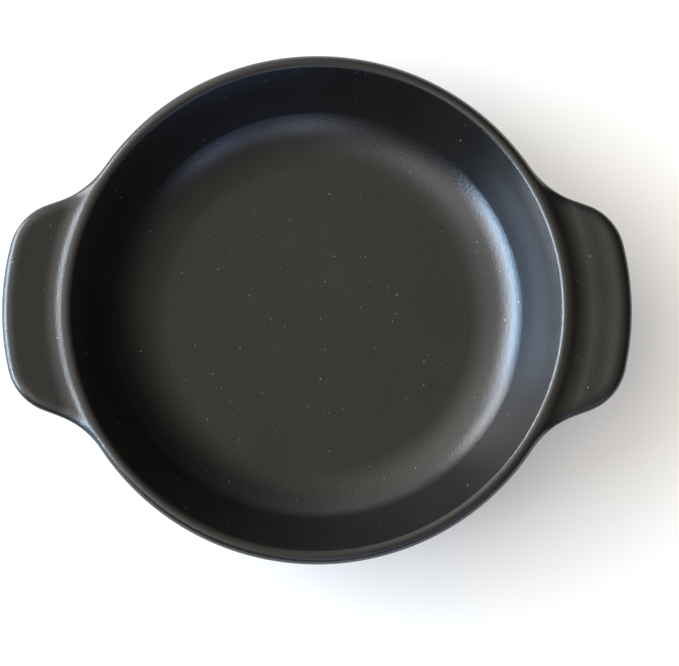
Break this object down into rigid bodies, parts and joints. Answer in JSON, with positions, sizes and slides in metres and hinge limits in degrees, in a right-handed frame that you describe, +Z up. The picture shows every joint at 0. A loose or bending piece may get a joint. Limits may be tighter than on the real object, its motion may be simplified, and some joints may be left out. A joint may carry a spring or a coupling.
{
  "type": "gratin dish",
  "caption": "Shallow round stoneware dish with a flared wall, a rolled rim, a foot ring and a flat lug handle on each side, for baking and serving a gratin.",
  "frame": {"origin": "on the dish's axis, in the plane that the foot ring stands on", "axes": "+Z up along the dish's axis, +X through the middle of one lug handle, +Y across"},
  "size_m": [0.22, 0.18, 0.033],
  "materials": {
    "black_glaze": "satin black glaze over stoneware, bare on the foot ring"
  },
  "bodies": {
    "root": {"dish": "black_glaze"}
  },
  "joints": []
}
